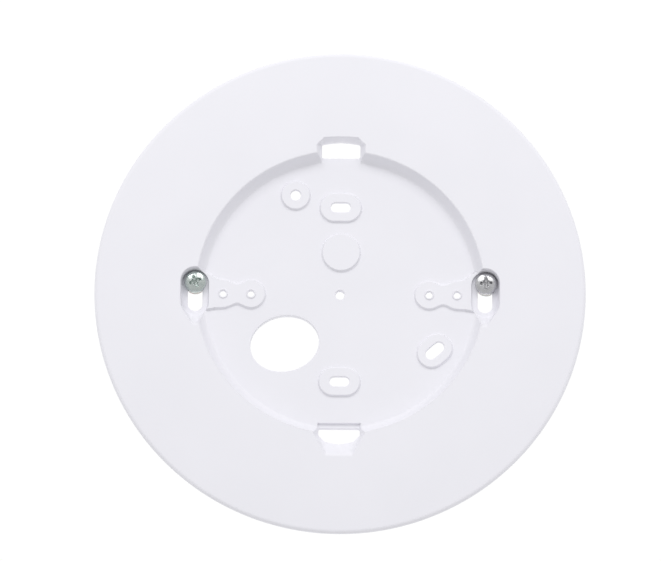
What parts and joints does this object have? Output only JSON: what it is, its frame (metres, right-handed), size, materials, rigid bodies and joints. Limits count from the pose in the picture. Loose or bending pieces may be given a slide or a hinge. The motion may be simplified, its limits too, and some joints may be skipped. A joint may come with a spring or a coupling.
{
  "type": "smoke detector mounting plate",
  "caption": "Round dished mounting plate for a smoke detector: slots and holes for standard electrical boxes, with captive fixing screws in slotted pockets.",
  "frame": {"origin": "on the plate's centre line, in the plane of its back, which lies on the wall or ceiling", "axes": "+Z out of the plate's front, towards the detector; +Y towards the plate's top, the end of the slots where the fixing screws stand; +X to the right, seen from the front"},
  "size_m": [0.14, 0.14, 0.0124],
  "materials": {
    "white_plastic": "fine matte moulding",
    "zinc_plate": "bright zinc plating",
    "nylon": "natural nylon, satin"
  },
  "bodies": {
    "plate": {"mounting_plate": "white_plastic"},
    "left_washer": {"left_retaining_washer": "nylon"},
    "left_screw": {"left_screw": "zinc_plate"},
    "right_washer": {"right_retaining_washer": "nylon"},
    "right_screw": {"right_screw": "zinc_plate"}
  },
  "joints": [
    {"name": "left_screw_slide", "type": "slide", "parent": "plate", "child": "left_washer", "axis": [0, -1, 0], "range_m": [0, 0.0061]},
    {"name": "left_screw_turn", "type": "hinge", "parent": "left_washer", "child": "left_screw", "pos_m": [-0.0413, 0.0033, 0.0021], "axis": [0, 0, 1], "continuous": true},
    {"name": "right_screw_slide", "type": "slide", "parent": "plate", "child": "right_washer", "axis": [0, -1, 0], "range_m": [0, 0.0061]},
    {"name": "right_screw_turn", "type": "hinge", "parent": "right_washer", "child": "right_screw", "pos_m": [0.0416, 0.0033, 0.0021], "axis": [0, 0, 1], "continuous": true}
  ]
}
